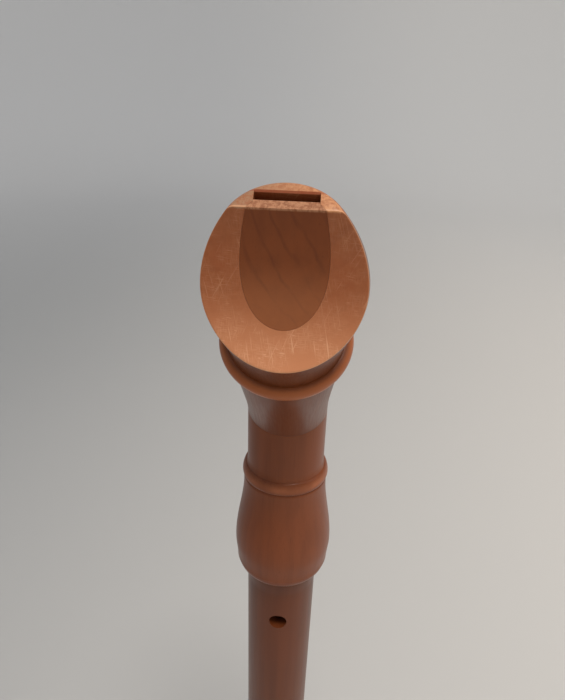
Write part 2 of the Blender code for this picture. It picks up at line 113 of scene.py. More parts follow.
def bead(start, end, lift, steps=22, sag=1.0):
    # half-round that stands out by its lift; a sag over 1 moves its crest towards the start
    points = []
    for step in range(1, steps + 1):
        share = step / steps
        along = ((1 - math.cos(math.pi * share)) / 2) ** sag
        points.append((
            start[0] + (end[0] - start[0]) * along + lift * math.sin(math.pi * share),
            start[1] + (end[1] - start[1]) * along,
        ))
    return points


def roundOut(start, end, steps=10):
    # quarter ellipse that leaves start across the axis and reaches end along it
    points = []
    for step in range(1, steps + 1):
        angle = math.pi / 2 * step / steps
        points.append((
            start[0] + (end[0] - start[0]) * math.sin(angle),
            end[1] + (start[1] - end[1]) * math.cos(angle),
        ))
    return points


def roundIn(start, end, steps=10):
    # quarter ellipse that leaves start along the axis and reaches end across it
    points = []
    for step in range(1, steps + 1):
        angle = math.pi / 2 * step / steps
        points.append((
            end[0] + (start[0] - end[0]) * math.cos(angle),
            start[1] + (end[1] - start[1]) * math.sin(angle),
        ))
    return points


def softenCorners(outline, reach, sharpest=16.0, steps=5):
    # replaces each corner of a closed outline with a small curve, so that turned edges catch the light
    points = np.array(outline)
    ahead = np.roll(points, -1, axis=0) - points
    lengths = np.hypot(ahead[:, 0], ahead[:, 1])
    behind = np.roll(ahead, 1, axis=0)
    cross = behind[:, 0] * ahead[:, 1] - behind[:, 1] * ahead[:, 0]
    turns = np.abs(np.degrees(np.arctan2(cross, (behind * ahead).sum(axis=1))))
    places = np.concatenate([[0], np.cumsum(lengths)])
    total = places[-1]
    corners = [index for index in range(len(points)) if turns[index] > sharpest]

    def pointAt(place):
        around = np.vstack([points, points[:1]])
        return [np.interp(place % total, places, around[:, axis]) for axis in (0, 1)]

    reaches = {}
    mostOfRun = 0.45
    for order, corner in enumerate(corners):
        after = (places[corners[(order + 1) % len(corners)]] - places[corner]) % total
        before = (places[corner] - places[corners[order - 1]]) % total
        reaches[corner] = min(reach, mostOfRun * after, mostOfRun * before)
    softened = []
    for index in range(len(points)):
        if index in reaches:
            start = np.array(pointAt(places[index] - reaches[index]))
            end = np.array(pointAt(places[index] + reaches[index]))
            for share in np.linspace(0, 1, steps + 1):
                curve = (1 - share) ** 2 * start + 2 * share * (1 - share) * points[index] + share ** 2 * end
                softened.append(tuple(curve))
            continue
        apart = [abs((places[index] - places[c] + total / 2) % total - total / 2) for c in reaches]
        if all(gap > room for gap, room in zip(apart, reaches.values())):
            softened.append(tuple(points[index]))
    return softened


def spacePoints(outline, longest=1.6):
    # divides long straight runs, so that the surface has even faces to cut and shade
    spaced = []
    for start, end in zip(outline, outline[1:] + outline[:1]):
        pieces = max(1, math.ceil(math.dist(start, end) / longest))
        for step in range(pieces):
            share = step / pieces
            spaced.append((
                start[0] + (end[0] - start[0]) * share,
                start[1] + (end[1] - start[1]) * share,
            ))
    return spaced


# Node trees: a small set of helpers, then turning and drilling


def addNode(tree, kind, inputs=None, **settings):
    node = tree.nodes.new(kind)
    for name, value in settings.items():
        setattr(node, name, value)
    for name, value in (inputs or {}).items():
        socket = node.inputs[name]
        if isinstance(value, bpy.types.NodeSocket):
            tree.links.new(value, socket)
        else:
            socket.default_value = value
    return node


def addMath(tree, operation, first, second=0.0):
    return addNode(tree, "ShaderNodeMath", {0: first, 1: second}, operation=operation).outputs[0]


def addProduct(tree, first, *others):
    for other in others:
        first = addMath(tree, "MULTIPLY", first, other)
    return first


def addAxis(tree, vector, axis):
    return addNode(tree, "ShaderNodeSeparateXYZ", {0: vector}).outputs[axis]


def addInputs(tree, inputs):
    tree.interface.new_socket("Geometry", in_out="INPUT", socket_type="NodeSocketGeometry")
    for name, kind in inputs.items():
        tree.interface.new_socket(name, in_out="INPUT", socket_type=kind)
    tree.interface.new_socket("Geometry", in_out="OUTPUT", socket_type="NodeSocketGeometry")


def makeTurningTree():
    # sweeps a closed outline round the Z axis, with the faint unevenness that a turning tool leaves
    tree = bpy.data.node_groups.new("turning", "GeometryNodeTree")
    addInputs(tree, {
        "Sides": "NodeSocketInt",
        "Spine Radius": "NodeSocketFloat",
        "Ripple Depth": "NodeSocketFloat",
        "Ripple Spacing": "NodeSocketFloat",
        "Seed": "NodeSocketFloat",
        "Wood": "NodeSocketMaterial",
    })
    given = tree.nodes.new("NodeGroupInput").outputs
    place = tree.nodes.new("GeometryNodeInputPosition").outputs[0]
    height = addAxis(tree, place, "Z")
    along = addMath(tree, "DIVIDE", height, given["Ripple Spacing"])
    waves = addNode(tree, "ShaderNodeTexNoise", {"Scale": 1.0, "Detail": 1.0, "W": given["Seed"],
                    "Vector": addNode(tree, "ShaderNodeCombineXYZ", {"Z": along}).outputs[0]},
                    noise_dimensions="4D")
    ripple = addProduct(tree, waves.outputs[0], given["Ripple Depth"])
    radius = addMath(tree, "SUBTRACT", addAxis(tree, place, "X"), ripple)
    outward = addMath(tree, "SUBTRACT", radius, given["Spine Radius"])
    downward = addProduct(tree, height, -1.0)
    section = addNode(tree, "ShaderNodeCombineXYZ", {"X": outward, "Y": downward})
    moved = addNode(tree, "GeometryNodeSetPosition", {"Geometry": given["Geometry"],
                    "Position": section.outputs[0]})
    outline = addNode(tree, "GeometryNodeMeshToCurve", {"Mesh": moved.outputs[0]})
    spine = addNode(tree, "GeometryNodeCurvePrimitiveCircle", {"Resolution": given["Sides"],
                    "Radius": given["Spine Radius"]})
    swept = addNode(tree, "GeometryNodeCurveToMesh", {"Curve": spine.outputs["Curve"],
                    "Profile Curve": outline.outputs["Curve"]})
    real = addNode(tree, "GeometryNodeRealizeInstances", {"Geometry": swept.outputs[0]})
    finished = addNode(tree, "GeometryNodeSetMaterial", {"Geometry": real.outputs[0],
                       "Material": given["Wood"]})
    addNode(tree, "NodeGroupOutput", {"Geometry": finished.outputs[0]})
    return tree


def makeDrillTree():
    # one drill from each point outwards in the point's own direction, wider at its inner end
    tree = bpy.data.node_groups.new("drills", "GeometryNodeTree")
    addInputs(tree, {
        "Sides": "NodeSocketInt",
        "Depth": "NodeSocketFloat",
        "Undercut": "NodeSocketFloat",
        "Wood": "NodeSocketMaterial",
    })
    given = tree.nodes.new("NodeGroupInput").outputs
    radius = addNode(tree, "GeometryNodeInputNamedAttribute", {"Name": "radius"}).outputs[0]
    facing = addNode(tree, "GeometryNodeInputNamedAttribute", {"Name": "facing"}, data_type="FLOAT_VECTOR")
    drill = addNode(tree, "GeometryNodeMeshCone", {"Vertices": given["Sides"], "Radius Top": 1.0,
                    "Radius Bottom": given["Undercut"], "Depth": given["Depth"]})
    turned = addNode(tree, "FunctionNodeAlignRotationToVector", {"Vector": facing.outputs[0]}, axis="Z")
    size = addNode(tree, "ShaderNodeCombineXYZ", {"X": radius, "Y": radius, "Z": 1.0})
    placed = addNode(tree, "GeometryNodeInstanceOnPoints", {"Points": given["Geometry"],
                     "Instance": drill.outputs["Mesh"], "Rotation": turned.outputs[0],
                     "Scale": size.outputs[0]})
    real = addNode(tree, "GeometryNodeRealizeInstances", {"Geometry": placed.outputs[0]})
    finished = addNode(tree, "GeometryNodeSetMaterial", {"Geometry": real.outputs[0],
                       "Material": given["Wood"]})
    addNode(tree, "NodeGroupOutput", {"Geometry": finished.outputs[0]})
    return tree


turningTree = makeTurningTree()
drillTree = makeDrillTree()


# Meshes


def linkMesh(name, mesh):
    piece = bpy.data.objects.new(name, mesh)
    bpy.context.scene.collection.objects.link(piece)
    return piece


def evaluatedMesh(piece):
    graph = bpy.context.evaluated_depsgraph_get()
    mesh = bpy.data.meshes.new_from_object(piece.evaluated_get(graph))
    mesh.name = piece.name
    return mesh


def grow(piece, tree, inputs):
    # runs a node tree on the piece and keeps its result as a plain mesh
    modifier = piece.modifiers.new(tree.name, "NODES")
    modifier.node_group = tree
    for socket in tree.interface.items_tree:
        if socket.in_out == "INPUT" and socket.name in inputs:
            modifier[socket.identifier] = inputs[socket.name]
    mesh = evaluatedMesh(piece)
    piece.modifiers.remove(modifier)
    piece.data = mesh
    return piece


def setFaces(mesh, place, unit=1.0):
    # closes doubles, turns the faces outwards and puts the mesh in its place
    shape = bmesh.new()
    shape.from_mesh(mesh)
    bmesh.ops.remove_doubles(shape, verts=shape.verts, dist=mergeDistance * unit)
    bmesh.ops.recalc_face_normals(shape, faces=shape.faces)
    bmesh.ops.transform(shape, matrix=place, verts=shape.verts)
    shape.to_mesh(mesh)
    shape.free()


def putInPlace(mesh, place):
    # from millimetres in the piece's own frame to metres in the shared one
    setFaces(mesh, Matrix.Scale(mm, 4) @ place)


def fromShape(name, shape, place):
    mesh = bpy.data.meshes.new(name)
    shape.to_mesh(mesh)
    shape.free()
    putInPlace(mesh, place)
    return linkMesh(name, mesh)


def skin(shape, rings):
    # joins each ring of points to the next with four-sided faces
    for low, high in zip(rings, rings[1:]):
        for index in range(len(low)):
            after = (index + 1) % len(low)
            shape.faces.new((low[index], low[after], high[after], high[index]))


def smooth(piece, angle=28.0):
    piece.data.shade_smooth()
    piece.data.set_sharp_from_angle(angle=math.radians(angle))
    return piece


turning = {"Sides": 168, "Spine Radius": 1.0, "Ripple Depth": 0.012, "Ripple Spacing": 2.6}


def turn(name, outline, place, material, seed, soften=0.22):
    outline = spacePoints(softenCorners(outline, soften))
    count = len(outline)
    mesh = bpy.data.meshes.new(name)
    edges = [(index, (index + 1) % count) for index in range(count)]
    mesh.from_pydata([(radius, 0, height) for radius, height in outline], edges, [])
    piece = grow(linkMesh(name, mesh), turningTree, {**turning, "Seed": seed, "Wood": material})
    putInPlace(piece.data, place)
    return smooth(piece)


def slab(name, outline, halfWidth, place):
    # cutter with a (y, z) outline, which runs halfWidth to each side
    shape = bmesh.new()
    face = shape.faces.new([shape.verts.new((-halfWidth, y, z)) for y, z in outline])
    made = bmesh.ops.extrude_face_region(shape, geom=[face])["geom"]
    moved = [item for item in made if isinstance(item, bmesh.types.BMVert)]
    bmesh.ops.translate(shape, verts=moved, vec=(2 * halfWidth, 0, 0))
    return fromShape(name, shape, place)


def rod(name, radius, low, high, place):
    shape = bmesh.new()
    middle = Matrix.Translation((0, 0, (low + high) / 2))
    bmesh.ops.create_cone(shape, cap_ends=True, segments=cutters["sides"], radius1=radius, radius2=radius,
                          depth=high - low, matrix=middle)
    return fromShape(name, shape, place)


def mitreBlock(name, side):
    # fills one side of the mitre plane, 1 above it and -1 below it
    size = cutters["mitreSize"]
    shape = bmesh.new()
    bmesh.ops.create_cube(shape, size=size)
    bmesh.ops.translate(shape, verts=shape.verts, vec=(0, 0, side * (size - joints["mitreSeam"]) / 2))
    return fromShape(name, shape, neckFrame @ Matrix.Rotation(-bendAngle / 2, 4, "X"))


def carve(piece, tools):
    for cutter in tools:
        modifier = piece.modifiers.new(cutter.name, "BOOLEAN")
        modifier.operation = "DIFFERENCE"
        modifier.solver = "EXACT"
        modifier.object = cutter
    mesh = evaluatedMesh(piece)
    piece.modifiers.clear()
    piece.data = mesh
    for cutter in tools:
        bpy.data.objects.remove(cutter)
    setFaces(piece.data, Matrix.Identity(4), mm)
    return smooth(piece)


def drillHoles(piece, top, place, sizes, material):
    mesh = bpy.data.meshes.new(piece.name + "Drills")
    points = [(offset, 0, top - drop) for drop, radius, offset, facing in sizes["holes"]]
    mesh.from_pydata(points, [], [])
    radii = mesh.attributes.new("radius", "FLOAT", "POINT")
    facings = mesh.attributes.new("facing", "FLOAT_VECTOR", "POINT")
    for index, (drop, radius, offset, facing) in enumerate(sizes["holes"]):
        radii.data[index].value = radius
        facings.data[index].vector = (0, facing, 0)
    drills = linkMesh(mesh.name, mesh)
    grow(drills, drillTree, {"Sides": sizes["holeSides"], "Depth": sizes["holeDepth"],
                             "Undercut": sizes["holeUndercut"], "Wood": material})
    putInPlace(drills.data, place)
    return carve(piece, [drills])


# Wood is laid out in each piece's own frame, with Z along the grain


def grainCoordinates(tree, place):
    # object coordinates, turned and moved into the frame that the piece was made in, in metres
    turnBack = place.to_3x3().inverted()
    origin = turnBack @ (place.to_translation() * mm)
    raw = tree.nodes.new("ShaderNodeTexCoord").outputs["Object"]
    mapped = addNode(tree, "ShaderNodeMapping", {"Vector": raw, "Location": -origin,
                     "Rotation": turnBack.to_euler()})
    return mapped.outputs[0]


def addNoise(tree, vector, noise):
    scaled = addNode(tree, "ShaderNodeVectorMath", {0: vector, 1: noise["stretch"]}, operation="MULTIPLY")
    made = addNode(tree, "ShaderNodeTexNoise", {"Vector": scaled.outputs[0], "Scale": noise["scale"],
                   "Detail": noise.get("detail", 2.0), "Roughness": noise.get("rough", 0.5)})
    return made.outputs[0]


def addRange(tree, value, low, high, newLow=0.0, newHigh=1.0):
    ranged = addNode(tree, "ShaderNodeMapRange", {"Value": value, "From Min": low, "From Max": high,
                     "To Min": newLow, "To Max": newHigh}, interpolation_type="SMOOTHSTEP")
    return ranged.outputs[0]


def addPatches(tree, vector, noise, least=0.0, most=1.0):
    # least where the noise is under its low limit, and most where it is over its high one
    return addRange(tree, addNoise(tree, vector, noise), noise["low"], noise["high"], least, most)


def addFade(tree, value, start, fade, least=0.0, most=1.0):
    # from least to most over a stretch in millimetres, measured from the start
    return addRange(tree, value, (start + fade[0]) * mm, (start + fade[1]) * mm, least, most)


def addMix(tree, factor, first, second):
    mix = addNode(tree, "ShaderNodeMix", data_type="RGBA")
    for socket, value in ((mix.inputs[0], factor), (mix.inputs[6], first), (mix.inputs[7], second)):
        if isinstance(value, bpy.types.NodeSocket):
            tree.links.new(value, socket)
        elif isinstance(value, tuple):
            socket.default_value = (*value, 1.0)
        else:
            socket.default_value = value
    return mix.outputs[2]


ringShape = {
    "wander": {"stretch": (1, 1, 0.12), "detail": 3.0},
    "flatten": (1, 1, 0.02),
    "full": 0.86,
    "fall": (0.9, 1.0),
    "patches": {"stretch": (1, 1, 0.3), "scale": 170.0, "low": 0.36, "high": 0.60},
    "faintest": 0.15,
}


def addRings(tree, vector, wood):
    # growth rings round a pith that lies off the piece's axis, which come and go
    wander = addNoise(tree, vector, {**ringShape["wander"], "scale": wood["ringWander"]})
    flat = addNode(tree, "ShaderNodeVectorMath", {0: vector, 1: ringShape["flatten"]}, operation="MULTIPLY")
    pith = tuple(mm * value for value in wood["pith"])
    fromPith = addNode(tree, "ShaderNodeVectorMath", {0: flat.outputs[0], 1: pith}, operation="DISTANCE")
    years = addMath(tree, "DIVIDE", fromPith.outputs["Value"], wood["ringSpacing"] * mm)
    uneven = addMath(tree, "ADD", addProduct(tree, wander, wood["ringUneven"]), years)
    year = addMath(tree, "FRACT", uneven)
    rise = addRange(tree, year, wood["lateWood"], ringShape["full"])
    fall = addRange(tree, year, *ringShape["fall"], 1.0, 0.0)
    patches = addPatches(tree, vector, ringShape["patches"], ringShape["faintest"])
    return addProduct(tree, rise, fall, patches)


grain = {
    "fibres": {"stretch": (1, 1, 0.035), "scale": 2100.0, "detail": 4.0, "rough": 0.62},
    "streaks": {"stretch": (1, 1, 0.05), "scale": 420.0, "detail": 3.0, "low": 0.35, "high": 0.7},
    "mottle": {"stretch": (1, 1, 0.45), "scale": 70.0, "low": 0.35, "high": 0.68},
    "pores": {"stretch": (1, 1, 0.028), "scale": 3400.0, "low": 0.62, "high": 0.74},
    "paleFibres": (0.4, 0.72),
    "roughFibres": (0.2, 0.8),
    "roughnessSpread": (-0.05, 0.07),
    "poreRelief": 0.9,
    "reliefDepth": 0.02,
}


def makeWood(name, place, wood):
    material = bpy.data.materials.new(name)
    material.use_nodes = True
    tree = material.node_tree
    shader = tree.nodes["Principled BSDF"]
    vector = grainCoordinates(tree, place)

    rings = addRings(tree, vector, wood)
    fibres = addNoise(tree, vector, grain["fibres"])
    streaks = addPatches(tree, vector, grain["streaks"], 0.0, wood["streakDepth"])
    mottle = addPatches(tree, vector, grain["mottle"], 0.0, wood["mottleDepth"])
    pores = addPatches(tree, vector, grain["pores"])
    paleFibres = addRange(tree, fibres, *grain["paleFibres"], 0.0, wood["fibreDepth"])

    colour = addMix(tree, addProduct(tree, rings, wood["ringDepth"]), wood["light"], wood["dark"])
    colour = addMix(tree, streaks, colour, wood["dark"])
    colour = addMix(tree, paleFibres, colour, wood["pale"])
    colour = addMix(tree, mottle, colour, wood["warm"])
    colour = addMix(tree, addProduct(tree, pores, wood["poreDepth"]), colour, wood["pore"])

    least, most = [wood["roughness"] + spread for spread in grain["roughnessSpread"]]
    roughness = addRange(tree, fibres, *grain["roughFibres"], least, most)
    relief = addMath(tree, "SUBTRACT", fibres, addProduct(tree, pores, grain["poreRelief"]))
    parts = {"tree": tree, "vector": vector, "fibres": fibres, "colour": colour,
             "roughness": roughness, "relief": relief}
    if "finish" in wood:
        wood["finish"](parts, wood)
    bump = addNode(tree, "ShaderNodeBump", {"Height": parts["relief"], "Strength": wood["bump"],
                   "Distance": grain["reliefDepth"] * mm})
    tree.links.new(parts["colour"], shader.inputs["Base Color"])
    tree.links.new(parts["roughness"], shader.inputs["Roughness"])
    tree.links.new(bump.outputs[0], shader.inputs["Normal"])
    shader.inputs["Coat Weight"].default_value = wood["coat"]
    shader.inputs["Coat Roughness"].default_value = wood["coatRoughness"]
    shader.inputs["Specular IOR Level"].default_value = wood["specular"]
    return material


stainedWood = {
    "light": (0.290, 0.076, 0.023),
    "dark": (0.190, 0.046, 0.014),
    "pale": (0.320, 0.096, 0.034),
    "warm": (0.325, 0.078, 0.021),
    "pore": (0.120, 0.030, 0.010),
    "pith": (22.0, -34.0, 0.0),
    "ringSpacing": 2.3,
    "ringWander": 60.0,
    "ringUneven": 0.9,
    "ringDepth": 0.28,
    "lateWood": 0.1,
    "streakDepth": 0.40,
    "fibreDepth": 0.22,
    "mottleDepth": 0.40,
    "poreDepth": 0.22,
    "roughness": 0.34,
    "bump": 0.12,
    "coat": 0.13,
    "coatRoughness": 0.19,
    "specular": 0.24,
}


def darker(wood, share):
    # the same wood scaled darker by a share; the shares differ between pieces as painted shade, deepest on
    # the middle joint and foot
    colours = {name: tuple(share * value for value in wood[name])
               for name in ("light", "dark", "pale", "warm", "pore")}
    return {**wood, **colours}


# Head: beak, ring and cup above the mitre

headPiece = {
    "length": 68.2,
    "cupRadius": 12.2,
    "ringRadius": 14.4,
    "ringDrop": 34.8,
    "ringHalfWidth": 2.3,
    "beakFootRadius": 12.6,
    "beakRadius": 15.6,
    "beakWidestDrop": 15.2,
    "tipRadius": 10.5,
    "tipCurve": 1.8,
    "tipRound": 0.7,
    "scoopDrop": 23.5,
    "tipThickness": 6.25,
    "scoopRadius": 46.0,
    "rimSoftness": 0.34,
    "rimRound": 0.2,
    "chordColumns": 22,
    "rimColumns": 9,
    "backColumns": 60,
    "rimBand": 0.55,
    "leastRim": 0.22,
    "cupSteps": 44,
    "ringSteps": 30,
    "scoopLead": 1.0,
    "scoopLip": 2.0,
    "tipBand": 1.2,
    "spacing": {"beak": 0.6, "scoopStart": 0.09, "scoop": 0.4, "tip": 0.07},
}

farAway = 1000.0

windway = {
    "length": 42.0,
    "entryWidth": 11.4,
    "exitWidth": 9.6,
    "entryHeight": 1.8,
    "exitHeight": 1.1,
    "roofLand": 0.1,
    "roofRise": 0.2,
    "chamfer": 0.3,
    "window": 4.0,
    "ramp": 14.0,
    "labium": 0.5,
}

ringHeight = headPiece["length"] - headPiece["ringDrop"]
ringLow = ringHeight - headPiece["ringHalfWidth"]
ringHigh = ringHeight + headPiece["ringHalfWidth"]
widestHeight = headPiece["length"] - headPiece["beakWidestDrop"]
scoopHeight = headPiece["length"] - headPiece["scoopDrop"]


def beakRadiusAt(height):
    # radius of the beak's outside above the ring
    if height <= widestHeight:
        share = (height - ringHigh) / (widestHeight - ringHigh)
        ease = share * share * (3 - 2 * share)
        return headPiece["beakFootRadius"] + (headPiece["beakRadius"] - headPiece["beakFootRadius"]) * ease
    share = (height - widestHeight) / headPiece["beakWidestDrop"]
    fall = headPiece["beakRadius"] - headPiece["tipRadius"]
    return headPiece["beakRadius"] - fall * min(share, 1.0) ** headPiece["tipCurve"]


def scoopCircle():
    # centre of the beak's scoop in the (y, z) plane of the head's frame
    top = Vector((headPiece["tipThickness"] - headPiece["tipRadius"], headPiece["length"]))
    low = Vector((beakRadiusAt(scoopHeight), scoopHeight))
    chord = low - top
    towardsPlayer = Vector((-chord.y, chord.x)).normalized()
    depth = math.sqrt(headPiece["scoopRadius"] ** 2 - (chord.length / 2) ** 2)
    return (top + low) / 2 + towardsPlayer * depth


scoopCentre = scoopCircle()


def scoopDepthAt(height):
    # how far towards the player the scoop's surface stands at a height
    rise = height - scoopCentre.y
    if abs(rise) >= headPiece["scoopRadius"]:
        return farAway
    return scoopCentre.x - math.sqrt(headPiece["scoopRadius"] ** 2 - rise ** 2)


def headRows():
    # (radius, height) of each ring of points on the outside, closer together where the shape is busy
    neck = joints["neckRadius"]
    rows = [(neck, -2 * mitreRise), (neck, -mitreRise), (neck, 0.0), (neck, mitreRise)]
    rows += swell(rows[-1], (headPiece["cupRadius"], ringLow), headPiece["cupSteps"])
    lift = headPiece["ringRadius"] - (headPiece["cupRadius"] + headPiece["beakFootRadius"]) / 2
    rows += bead(rows[-1], (headPiece["beakFootRadius"], ringHigh), lift, headPiece["ringSteps"])
    tip = headPiece["length"]
    ends = (ringHigh, scoopHeight - headPiece["scoopLead"], scoopHeight + headPiece["scoopLip"],
            tip - headPiece["tipBand"], tip)
    for spacing, low, high in zip(headPiece["spacing"].values(), ends, ends[1:]):
        count = round((high - low) / spacing)
        for step in range(1, count + 1):
            height = low + (high - low) * step / count
            rows.append((beakRadiusAt(height), height))
    return rows


def roundedEnd(height, radius):
    # how far an edge of that radius has drawn in at a height just under the end face
    into = height - (headPiece["length"] - radius)
    if into <= 0:
        return 0.0
    return radius - math.sqrt(max(radius * radius - into * into, 0.0))


def headSection(radius, height):
    # points round the section at one height: the round back, and the scoop's flat front with a soft rim
    scoop = scoopDepthAt(height) if height > ringHigh else farAway
    radius -= roundedEnd(height, headPiece["tipRound"])
    scoop -= roundedEnd(height, headPiece["rimRound"])
    pole = (min(scoop, radius) - radius) / 2
    rim = 0.0
    if scoop < radius:
        rim = math.atan2(math.sqrt(radius ** 2 - scoop ** 2), scoop - pole)
    rim = max(rim, headPiece["leastRim"])
    band = headPiece["rimBand"] / radius
    angles = np.concatenate([
        np.linspace(0, rim - band, headPiece["chordColumns"], endpoint=False),
        np.linspace(rim - band, rim + band, headPiece["rimColumns"], endpoint=False),
        np.linspace(rim + band, math.pi, headPiece["backColumns"]),
    ])
    half = []
    for angle in angles:
        outside = -pole * math.cos(angle) + math.sqrt(radius ** 2 - (pole * math.sin(angle)) ** 2)
        flat = (scoop - pole) / math.cos(angle) if math.cos(angle) > 1e-6 else farAway ** 2
        blend = headPiece["rimSoftness"]
        reach = min(outside, flat) - max(blend - abs(outside - flat), 0.0) ** 2 / (4 * blend)
        half.append((reach * math.sin(angle), pole + reach * math.cos(angle)))
    other = [(-x, y) for x, y in half[-2:0:-1]]
    return [(x, y, height) for x, y in half + other]


def makeHeadBlank():
    shape = bmesh.new()
    rings = []
    for radius, height in headRows():
        rings.append([shape.verts.new(point) for point in headSection(radius, height)])
    skin(shape, rings)
    shape.faces.new(rings[0])
    shape.faces.new(rings[-1])
    return fromShape("headMouthpiece", shape, headFrame)


roofEntry = -(joints["headBore"] + windway["roofLand"])
roofExit = roofEntry - windway["roofRise"]
windwayExit = headPiece["length"] - windway["length"]
labiumEdge = windwayExit - windway["window"]


def windwayHalfWidth(height):
    share = (headPiece["length"] - height) / windway["length"]
    return (windway["entryWidth"] + (windway["exitWidth"] - windway["entryWidth"]) * share) / 2


def windwayCutter():
    # tapering channel, open to the bore, from above the end face down into the window
    shape = bmesh.new()
    ends = []
    for height in (headPiece["length"] + windway["window"], windwayExit - windway["window"] / 2):
        share = (headPiece["length"] - height) / windway["length"]
        half = windwayHalfWidth(height)
        roof = roofEntry + (roofExit - roofEntry) * share
        inside = -joints["headBore"] / 2
        corners = ((-half, roof), (half, roof), (half, inside), (-half, inside))
        ends.append([shape.verts.new((x, y, height)) for x, y in corners])
    for end in ends:
        shape.faces.new(end)
    skin(shape, ends)
    return fromShape("windwayCutter", shape, headFrame)


def roofChamferCutter():
    tip = headPiece["length"]
    chamfer = windway["chamfer"]
    outline = [(roofEntry - 2 * chamfer, tip + chamfer), (roofEntry + chamfer, tip + chamfer),
               (roofEntry + chamfer, tip - chamfer), (roofEntry, tip - chamfer)]
    return slab("roofChamferCutter", outline, windway["entryWidth"] / 2, headFrame)


def windowCutter():
    inside = -joints["headBore"] / 2
    edge = -(joints["headBore"] + windway["labium"])
    rampEnd = -headPiece["cupRadius"]
    outside = rampEnd - cutters["reach"]
    outline = [(inside, windwayExit), (outside, windwayExit), (outside, labiumEdge - windway["ramp"]),
               (rampEnd, labiumEdge - windway["ramp"]), (edge, labiumEdge), (inside, labiumEdge)]
    return slab("windowCutter", outline, windway["exitWidth"] / 2, headFrame)


endGrainMarks = {
    "fade": (-0.5, -0.15),
    "specks": {"stretch": (1, 1, 0.2), "scale": 1500.0, "detail": 3.0, "rough": 0.7, "low": 0.38,
               "high": 0.60},
    "least": 0.35,
}


def endGrainMask(tree, vector):
    # speckled mask of the end face, where the cut fibres take the oil unevenly
    atEnd = addFade(tree, addAxis(tree, vector, "Z"), headPiece["length"], endGrainMarks["fade"])
    return addProduct(tree, atEnd, addPatches(tree, vector, endGrainMarks["specks"], endGrainMarks["least"]))


# Stretches are in millimetres from the edge that each is named for
beakMarks = {
    "onScoop": (0.45, 0.12),
    "aboveRing": (1.0, 3.0),
    "atTip": (-5.0, -0.4),
    "scratchPatches": {"stretch": (1, 1, 1), "scale": 210.0, "low": 0.34, "high": 0.58},
    "scratchedTo": 1.5,
    "scratchLeast": 0.35,
    "scratchDepth": 0.75,
    "scratchRelief": 1.5,
    "bareFibres": (0.35, 0.7),
    "fibreDepth": 0.55,
    "blotches": {"stretch": (1, 1, 0.6), "scale": 190.0, "detail": 3.0, "low": 0.4, "high": 0.7},
    "blotchDepth": 0.5,
    # painted light: the stretch above the scoop's foot over which it is painted lighter, then how strongly
    "litScoopFade": (12.0, -0.5),
    "litScoopFadeDepth": 0.82,
    # painted highlight on the rim: its inner and outer edges, then its strength
    "rimHighlightIn": (0.01, 0.10),
    "rimHighlightOut": (0.42, 0.20),
    "rimHighlightDepth": 0.6,
    "bevelReach": 0.04,
    "roofSkin": 0.02,
    "roofDepth": 0.8,
    "ringStart": (-0.2, 0.8),
    "ringEnd": (0.3, -0.6),
    "ringDepth": 0.75,
}


def addFromScoop(tree, vector):
    # distance from the line that the scoop is struck from
    centre = (0.0, scoopCentre.x * mm, scoopCentre.y * mm)
    away = addNode(tree, "ShaderNodeVectorMath", {0: vector, 1: centre}, operation="SUBTRACT")
    flat = addNode(tree, "ShaderNodeVectorMath", {0: away.outputs[0], 1: (0, 1, 1)}, operation="MULTIPLY")
    return addNode(tree, "ShaderNodeVectorMath", {0: flat.outputs[0]}, operation="LENGTH").outputs["Value"]


def addScratches(tree, vector, lines):
    # hairlines along one direction, tipped about the front-to-back axis so that no two sets run square
    tipped = addNode(tree, "ShaderNodeMapping", {"Vector": vector, "Rotation": (0.0, lines["tip"], 0.0)})
    return addPatches(tree, tipped.outputs[0], {**lines, "detail": 1.0}, 0.0, lines["depth"])


def addRoofEdge(tree, vector, height):
    # mask of the bevel at the windway's mouth
    depth = addAxis(tree, vector, "Y")
    reach = windway["chamfer"] + beakMarks["bevelReach"]
    onBevel = addMath(tree, "GREATER_THAN", depth, (roofEntry - reach) * mm)
    atEntry = addMath(tree, "GREATER_THAN", height, (headPiece["length"] - reach) * mm)
    aboveSlot = addMath(tree, "LESS_THAN", depth, (roofEntry + beakMarks["roofSkin"]) * mm)
    return addProduct(tree, onBevel, atEntry, aboveSlot)


